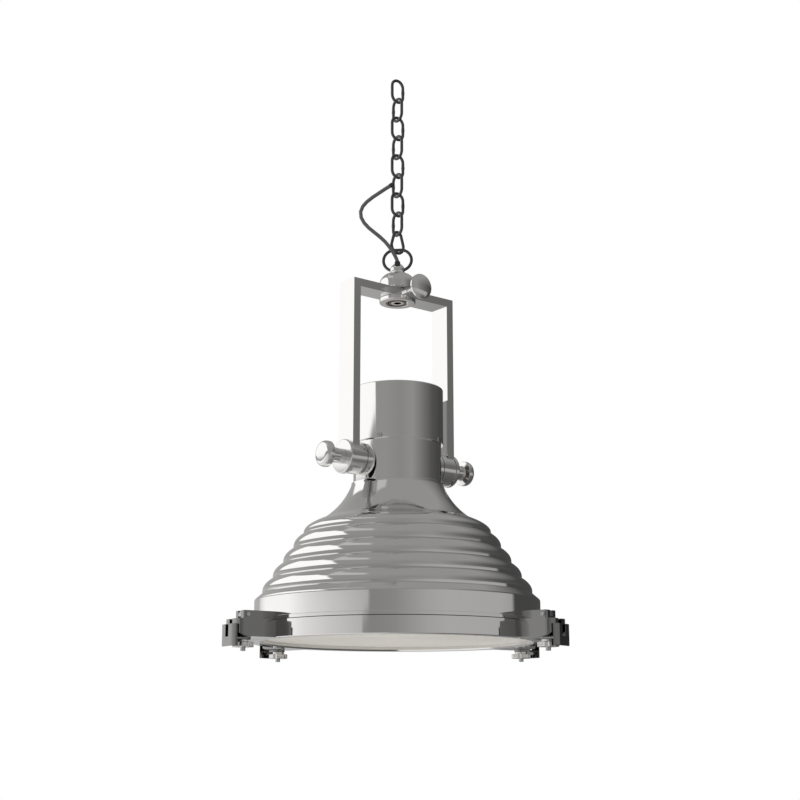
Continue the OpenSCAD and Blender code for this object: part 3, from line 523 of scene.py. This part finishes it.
# %% [markdown]
# ## Neck and cap
# The neck is a tube with two bosses for the trunnions, and a cap slides over its top. The seam
# between them is a thin dark line. The bosses cross the tube, which a lathe can't do, so the neck
# is a copy of its solid with eased edges. The cap is plain, and is turned.

# %% Neck and cap
LAMP_DROP = 238
LAMP_Z = TRUNNION_Z - LAMP_DROP
lamp_foot = (0, 0, LAMP_Z * MM)
neck = softened("neck_tube", "neck", 0.5)
dress(neck, nickel, "lamp", "polished", "neck")
cap = turned("neck_cover", [(0, 339.1)] + rounded([
    (59.05, 339.1, 0.5), (59.05, 263), (61.95, 263, 0.6), (61.95, 342, 1.6)]) + [(0, 342)],
    lamp_foot, steps=160, ring=False)
dress(cap, nickel, "lamp", "polished", "neck_cap")

# %% [markdown]
# ## Shade
# The shade is spun from sheet over a former: a straight drum, five ribs like steps, and a flare
# that runs into the collar round the neck. Each rib rises straight for a little, then leans in
# along a curve to the foot of the next, and the crease between two ribs stays sharp. The white
# stripes of the photo are mirror images, so the curve of the ribs decides how tall they are. The
# inside follows the outside at the thickness of the sheet.

# %% Shade
DRUM_R, SHEET = 187, 2
RIBS, RIB_R, RIB_FOOT, RIB_IN, RIB_UP = 5, 177, 62.5, 13.2, 19.8
RIB_STRAIGHT, RIB_LEAN, LAST_LEAN = 3, 12.5, 11
FLARE_FOOT, FLARE_PULL, FLARE_TOP = (99, 162), (72.45, 180), (61.65, 208)
COLLAR_RIM = [(61.65, 210.1), (61.25, 210.5), (59.06, 210.5), (59.06, 207)]
FLANGE = [
    (185, 29), (183.2, 27), (183.2, 16), (186.6, 16), (186.7, 22), (189.6, 22), (190, 22.4),
    (190, 26.6), (189.6, 27)]
ribs = []
for i in range(RIBS):
    r, h = RIB_R - RIB_IN * i, RIB_FOOT + RIB_UP * i
    is_last = i == RIBS - 1
    next_foot = FLARE_FOOT if is_last else (r - RIB_IN, h + RIB_UP)
    pull = (r, h + (LAST_LEAN if is_last else RIB_LEAN))
    ribs += [(r, h)] + bezier((r, h + RIB_STRAIGHT), pull, next_foot, 12)[:-1]
drum = [(DRUM_R, 27), (DRUM_R, 51.6), (DRUM_R, 54, 3.5)]
outer = rounded(drum + [tuple(p) for p in ribs] + [FLARE_FOOT], steps=5)
outer += bezier(FLARE_FOOT, FLARE_PULL, FLARE_TOP, 20)[1:]
inner = []
for a, b in zip(outer[3:-2], outer[4:-1]):
    step = (b - a).normalized()
    inner.append((a + b) / 2 + Vector((-step.y, step.x)) * SHEET)
shell = outer + COLLAR_RIM + inner[::-1] + FLANGE
shade = turned("ribbed_shade", shell, lamp_foot, steps=224, angle=40)
dress(shade, nickel_spun, "lamp", "polished", "shade")

# %% [markdown]
# ## Lens and bezel
# The bezel is a ring with four slotted lugs, and the lens lies in it on a lip. The lugs make it
# more than a turned piece, so it is a copy of its solid with eased edges, and its lugs take the
# clamps' nickel, darkened as painted shade. A thin black ring in the seam above it is painted
# shade for the gap. The lens is pressed glass with faint round steps on its face, which a
# turned outline gives.

# %% Bezel and painted seam shade
SHADED_LUG_R = 193 * MM
bezel = softened("bezel_ring", "bezel", 0.9)
dress(bezel, nickel, "lamp", "polished", "bezel")
# The bezel's lugs take the darkened clamp nickel, a painted shade.
bezel.data.materials.append(shaded_clamp_nickel)
for face in bezel.data.polygons:
    if math.hypot(face.center.x, face.center.y) > SHADED_LUG_R:
        face.material_index = 1
# A thin black ring in the seam between flange and bezel: painted shade for the gap.
seam_shade = turned("seam_shade_ring", rounded([
    (188, 21.55), (190.3, 21.55, 0.2), (190.3, 22.6, 0.3), (188, 22.6)]), lamp_foot, steps=192)
dress(seam_shade, black_rubber, "lamp", "gasket_rubber")

# %% Lens
RIDGES, RIDGE_R, RIDGE_PITCH = 12, 170, 14
LENS_TOP, LENS_FACE, RIDGE_FACE = 11, 6, 6.4
ridges = []
for k in range(RIDGES):
    r = RIDGE_R - RIDGE_PITCH * k
    ridges += [(r, LENS_FACE), (r - 0.6, RIDGE_FACE), (r - 13.4, RIDGE_FACE)]
lens_rim = [(0, LENS_TOP), (187.3, LENS_TOP), (187.3, LENS_FACE), (174, LENS_FACE)]
lens = turned(
    "ridged_lens", lens_rim + ridges + [(0, RIDGE_FACE)], lamp_foot, steps=192, ring=False)
dress(lens, frosted, "lamp", "frosted_glass", "lens")

# %% [markdown]
# ## Clamps
# Four swing bolts clamp the bezel. Each hangs from a pin in a hinge lug, passes through a slot in
# the bezel's lug, and carries a shoe and a thumb nut. They are small castings with many bores, so
# copies of their solids are joined and eased, rather than drawn again.

# %% Clamp pieces
CLAMP_ANGLES = [-94.5, 16.5, 91.5, 190.5]
BOLT_CIRCLE = 225 * MM
bolt_places = []
for angle in CLAMP_ANGLES:
    a = math.radians(angle - 90)
    bolt_places.append((BOLT_CIRCLE * math.cos(a), BOLT_CIRCLE * math.sin(a), LAMP_Z * MM))
lugs = softened("hinge_lug_set", "hinge_lugs", 1.0)
dress(lugs, shaded_clamp_nickel, "lamp", "polished", "hinge_lugs")
for i in range(1, 5):
    bolt = softened(f"eye_bolt_{i}", f"swing_bolt_{i}", 0.3)
    dress(bolt, steel, f"bolt_{i}", "polished", f"swing_bolt_{i}")
    shoe = softened(f"shoe_block_{i}", f"clamp_shoe_{i}", 1.0)
    dress(shoe, shaded_clamp_nickel, f"shoe_{i}", "polished", f"clamp_shoe_{i}")

# %% [markdown]
# ## Thumb nuts
# A thumb nut is a turned hub over a wide flange. Grip notches are pressed into the flange's edge
# by pulling three of every eight columns of its outer points inwards.

# %% Thumb nuts
NUT_STEPS = 80
GRIP_R = 12 * MM
NOTCH_COLUMNS, NOTCH_EVERY, NOTCH_PULL = 3, 8, 0.9
nut = turned("nut_disc_1", rounded([
    (3.3, -3), (8.5, -3, 0.4), (8.5, -6, 0.5), (13.4, -6, 0.7), (13.4, -12, 0.9),
    (3.3, -12, 0.3)]), steps=NUT_STEPS)
bpy.ops.object.mode_set(mode="EDIT")
bpy.ops.mesh.select_mode(type="VERT")
bpy.ops.mesh.select_all(action="DESELECT")
bpy.ops.object.mode_set(mode="OBJECT")
for v in nut.data.vertices:
    column = round(math.degrees(math.atan2(v.co.y, v.co.x)) / (360 / NUT_STEPS)) % NOTCH_EVERY
    v.select = column < NOTCH_COLUMNS and math.hypot(v.co.x, v.co.y) > GRIP_R
bpy.ops.object.mode_set(mode="EDIT")
bpy.ops.transform.resize(value=(NOTCH_PULL, NOTCH_PULL, 1), center_override=(0, 0, 0))
bpy.ops.object.mode_set(mode="OBJECT")
nuts = [nut]
for i in range(2, 5):
    nuts.append(repeated(nut, f"nut_disc_{i}", move=bolt_places[i - 1]))
settle(nut, move=bolt_places[0])
for i, piece in enumerate(nuts, 1):
    dress(piece, nickel, f"nut_{i}", "polished", f"thumb_nut_{i}")

# %% [markdown]
# ## Cord dress and plain inner pieces
# The cord gets a short sleeve on its cut end, and its finish. The pieces inside keep
# their solids, which nobody sees unless the lens comes off.

# %% Sleeve on the cord's end
SLEEVE_BACK, SLEEVE_BORE_R = 4.5, 2.62
along = (route[-1] - route[-2]).normalized()
sleeve_bore = [(0, SLEEVE_BACK), (SLEEVE_BORE_R, SLEEVE_BACK)]
sleeve_side = rounded([(SLEEVE_BORE_R, 0), (3, 0, 0.15), (3, 5, 0.5), (0, 5)])
sleeve = turned("end_sleeve", sleeve_bore + sleeve_side,
                route[-1] - along * SLEEVE_BACK * MM, along, steps=24, ring=False)
dress(sleeve, black_rubber, "head", "cord_rubber", "cord_sleeve")

# %% Cord and inner pieces
cord.data.materials.append(cord_rubber)
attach(cord, "head")
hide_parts("power_cord")
INNER = {
    "swivel_washer": steel, "stem_nut": shaded_brass, "yoke_wire": cord_rubber,
    "friction_washers": fibre, "trunnion_studs": steel, "cap_latches": steel,
    "lampholder_bracket": steel, "bracket_screws": steel, "lampholder": ceramic,
    "screw_shell": brass, "centre_contact": brass, "bulb_cap": steel, "bulb_glass": bulb_frost,
    "terminal_block": fibre, "neck_wire": cord_rubber, "lug_rivets": steel, "pivot_pins": steel,
    "gasket": black_rubber,
}
for node, finish in INNER.items():
    nodes[node].data.materials.clear()
    nodes[node].data.materials.append(finish)
print("inner pieces", len(INNER))

# %% [markdown]
# ## Studio
# Polished metal only shows its surroundings. Behind the camera's back the photo's studio was
# grey, with a bright white wall to the left and darkness to the right. A painted dome stands for
# these, and only reflections see it, so the page stays white. The world is white where it is
# seen, and a little weaker as light.

# %% World
WORLD_LIGHT, WORLD_SEEN = 0.7, 1.0
scene = bpy.context.scene
scene.view_settings.view_transform = "Standard"
world = bpy.data.worlds.new("white_studio")
scene.world = world
world.use_nodes = True
world_tree = world.node_tree
sky = world_tree.nodes["Background"]
sky.inputs["Color"].default_value = (1, 1, 1, 1)
ray = world_tree.nodes.new("ShaderNodeLightPath")
seen = ray.outputs["Is Camera Ray"]
for kind in ("Is Glossy Ray", "Is Transmission Ray"):
    either = world_tree.nodes.new("ShaderNodeMath")
    either.operation = "MAXIMUM"
    link(world_tree, seen, either.inputs[0])
    link(world_tree, ray.outputs[kind], either.inputs[1])
    seen = either.outputs[0]
level = world_tree.nodes.new("ShaderNodeMapRange")
level.inputs["To Min"].default_value = WORLD_LIGHT
level.inputs["To Max"].default_value = WORLD_SEEN
link(world_tree, seen, level.inputs["Value"])
link(world_tree, level.outputs["Result"], sky.inputs["Strength"])
print("world", world.name)

# %% [markdown]
# ## Surround
# The dome is painted by direction. `turn` is the angle from the camera's side, negative to the
# left, and `rise` is the angle above level. A white wall and a dimmer screen stand to the left,
# each ended by an upright edge, which is a plane through the dome's centre. The wall's lower part
# is a band of its own, a floor lies below it, and the rest is two strips of grey, one for level
# and one for higher up. The dome is no bigger than a small studio, because the cap, high up, has
# to see more of the wall than the ribs do.

# %% Reflection dome
DOME_R, DOME_Z = 2.6, -0.69
start_clean()
bpy.ops.mesh.primitive_uv_sphere_add(
    segments=64, ring_count=32, radius=DOME_R, location=(0, 0, DOME_Z))
dome = bpy.context.object
dome.name = "reflection_dome"
dome.rotation_euler.z = math.atan2(RIGHT.y, RIGHT.x)
paint = bpy.data.materials.new("reflection_paint")
paint.use_nodes = True
tree = paint.node_tree
tree.nodes.remove(tree.nodes["Principled BSDF"])
glow = tree.nodes.new("ShaderNodeEmission")
link(tree, glow.outputs["Emission"], tree.nodes["Material Output"].inputs["Surface"])
dome.data.materials.append(paint)
for kind in ("camera", "diffuse", "transmission", "shadow", "volume_scatter"):
    setattr(dome, "visible_" + kind, False)
print("dome radius", DOME_R, "m")

# %% Tools for the paint
def calc(operation, *values):
    node = tree.nodes.new("ShaderNodeMath")
    node.operation = operation
    for socket, value in zip(node.inputs, values):
        if isinstance(value, (int, float)):
            socket.default_value = value
        else:
            link(tree, value, socket)
    return node.outputs[0]


def ranged(value, low, high, to_low=0.0, to_high=1.0):
    node = tree.nodes.new("ShaderNodeMapRange")
    link(tree, value, node.inputs["Value"])
    limits = {"From Min": low, "From Max": high, "To Min": to_low, "To Max": to_high}
    for label, number in limits.items():
        node.inputs[label].default_value = number
    return node.outputs["Result"]


def strip(value, low, high, stops):
    ramp = tree.nodes.new("ShaderNodeValToRGB")
    link(tree, ranged(value, low, high), ramp.inputs["Fac"])
    marks = ramp.color_ramp.elements
    for k, (angle, tone) in enumerate(stops):
        spot = (angle - low) / (high - low)
        mark = marks[k] if k < 2 else marks.new(spot)
        mark.position = spot
        mark.color = (tone, tone, tone, 1)
    return ramp.outputs["Color"]


def times(first, second):
    return calc("MULTIPLY", first, second)


def blend(share, first, second):
    return calc("ADD", times(calc("SUBTRACT", 1.0, share), first), times(share, second))


where = tree.nodes.new("ShaderNodeTexCoord")
unit = tree.nodes.new("ShaderNodeVectorMath")
unit.operation = "NORMALIZE"
axes = tree.nodes.new("ShaderNodeSeparateXYZ")
link(tree, where.outputs["Object"], unit.inputs[0])
link(tree, unit.outputs["Vector"], axes.inputs["Vector"])
towards_camera = calc("MULTIPLY", axes.outputs["Y"], -1.0)
turn = calc("DEGREES", calc("ARCTAN2", axes.outputs["X"], towards_camera))
rise = calc("DEGREES", calc("ARCSINE", axes.outputs["Z"]))
print("directions", len(tree.nodes), "nodes")

# %% White wall and screen
WALL_EDGE, SCREEN_EDGE = (0.386, -0.409, 0.264), (0.427, -0.139, 0.092)


def beyond(plane, soft=0.012):
    across = tree.nodes.new("ShaderNodeVectorMath")
    across.operation = "DOT_PRODUCT"
    across.inputs[1].default_value = plane
    link(tree, unit.outputs["Vector"], across.inputs[0])
    return ranged(across.outputs["Value"], soft, -soft)


wall = beyond(WALL_EDGE)
wall_and_screen = beyond(SCREEN_EDGE)
left_end = times(ranged(turn, -140, -136), ranged(turn, 1, -1))
top_line = calc("MINIMUM", ranged(turn, -141, -101, 36, 50), ranged(turn, -100, -60, 50, 43))
wall_top = calc("SUBTRACT", rise, top_line)
wall_low = calc("SUBTRACT", rise, ranged(turn, -95, -60, 12.2, 16.5))
wall_height = times(ranged(wall_low, -0.6, 0.6), ranged(wall_top, 1, -1))
high_wall = times(times(wall, left_end), wall_height)
screen = times(calc("SUBTRACT", wall_and_screen, wall), left_end)
high_screen = times(screen, times(ranged(rise, 46, 49), ranged(rise, 66, 63)))
low_edge = calc("SUBTRACT", ranged(rise, 2.4, 2.8, -25, -21), turn)
low_wall = times(times(ranged(low_edge, -0.4, 0.4), left_end), ranged(rise, 5.2, 4.6))
print("wall and screen", len(tree.nodes), "nodes")

# %% Tones of the surround
OVERHEAD_TONE, SCREEN_TONE, WALL_TONE = 0.36, 0.6, 1.27
low_wall_tone = strip(turn, -180, 180, [
    (-180, 0.8), (180, 0.6), (-138, 0.8), (-125, 1.2), (-92, 1.2), (-71, 0.9), (-52, 0.74),
    (-27, 0.58)])
level_tone = strip(turn, -180, 180, [
    (-180, 0.48), (180, 0.4), (-140, 0.5), (-60, 0.3), (-18, 0.28), (-2, 0.31), (22, 0.45),
    (38, 0.5), (86, 0.48), (99, 0.43), (102, 0.07), (165, 0.07)])
upper_tone = strip(turn, -180, 180, [
    (-180, 0.42), (180, 0.3), (-140, 0.42), (-120, 0.37), (-60, 0.34), (-32, 0.35), (7, 0.31),
    (38, 0.35), (70, 0.2), (96, 0.107), (132, 0.07), (165, 0.07)])
under_tone = strip(turn, -180, 180, [
    (-180, 0.4), (180, 0.4), (-140, 0.45), (-137, 1.0), (-30, 0.7), (-20, 0.5), (60, 0.3),
    (80, 0.14), (110, 0.1), (160, 0.12)])
tone = blend(ranged(rise, 6.5, 10), level_tone, upper_tone)
tone = blend(ranged(rise, 25, 50), tone, OVERHEAD_TONE)
tone = blend(high_screen, tone, SCREEN_TONE)
tone = blend(high_wall, tone, WALL_TONE)
tone = blend(low_wall, tone, low_wall_tone)
link(tree, blend(ranged(rise, -4, -14), tone, under_tone), glow.inputs["Strength"])
print("dome paint", len(tree.nodes), "nodes")

# %% [markdown]
# ## Floor and key light
# The floor is pale and keeps the lamp's shadow. It is clear from below, so a view from under the
# lamp still shows the lens. The chain and its ring stay out of reflections, like the yoke, because
# their dark dots on the polished ribs would look like dents. So do the wires inside, because the
# one in the yoke would show in the polish now that the tube round it doesn't.

# %% Pieces left out of reflections
for piece in [*links, taper, hoop, nodes["yoke_wire"], nodes["neck_wire"]]:
    piece.visible_glossy = False
    print(piece.name, "isn't reflected")

# %% Floor
FLOOR_SIZE, FLOOR_Z, FLOOR_TONE = 6, -1.45, 0.88
start_clean()
bpy.ops.mesh.primitive_plane_add(size=FLOOR_SIZE, location=(0, 0, FLOOR_Z))
floor = bpy.context.object
floor.name = "pale_floor"
floor_paint, matt = new_finish("pale_floor_paint", (FLOOR_TONE, FLOOR_TONE, FLOOR_TONE), 0)
matt.inputs["Roughness"].default_value = 0.9
floor_tree = floor_paint.node_tree
facing = floor_tree.nodes.new("ShaderNodeNewGeometry")
clear = floor_tree.nodes.new("ShaderNodeBsdfTransparent")
one_way = floor_tree.nodes.new("ShaderNodeMixShader")
link(floor_tree, facing.outputs["Backfacing"], one_way.inputs["Fac"])
link(floor_tree, matt.outputs["BSDF"], one_way.inputs[1])
link(floor_tree, clear.outputs["BSDF"], one_way.inputs[2])
surface = floor_tree.nodes["Material Output"].inputs["Surface"]
link(floor_tree, one_way.outputs["Shader"], surface)
floor.data.materials.append(floor_paint)
floor.visible_glossy = False
print("floor at", FLOOR_Z, "m")

# %% Key light
KEY_TURN, KEY_RISE, KEY_DISTANCE = math.radians(-60), math.radians(45), 2.6
KEY_POWER, KEY_SIZE = 30, 1.4
middle = Vector((0, 0, LAMP_Z * MM + 0.15))
flat = -LOOK_FLAT.normalized() * math.cos(KEY_TURN) + RIGHT.normalized() * math.sin(KEY_TURN)
to_key = flat * math.cos(KEY_RISE) + UP * math.sin(KEY_RISE)
bpy.ops.object.light_add(type="AREA", location=middle + to_key * KEY_DISTANCE)
soft_key = bpy.context.object
soft_key.data.energy = KEY_POWER
soft_key.data.size = KEY_SIZE
soft_key.rotation_euler = (soft_key.location - middle).to_track_quat("Z", "Y").to_euler()
soft_key.visible_glossy = False
print("key light at", tuple(round(x, 2) for x in soft_key.location))
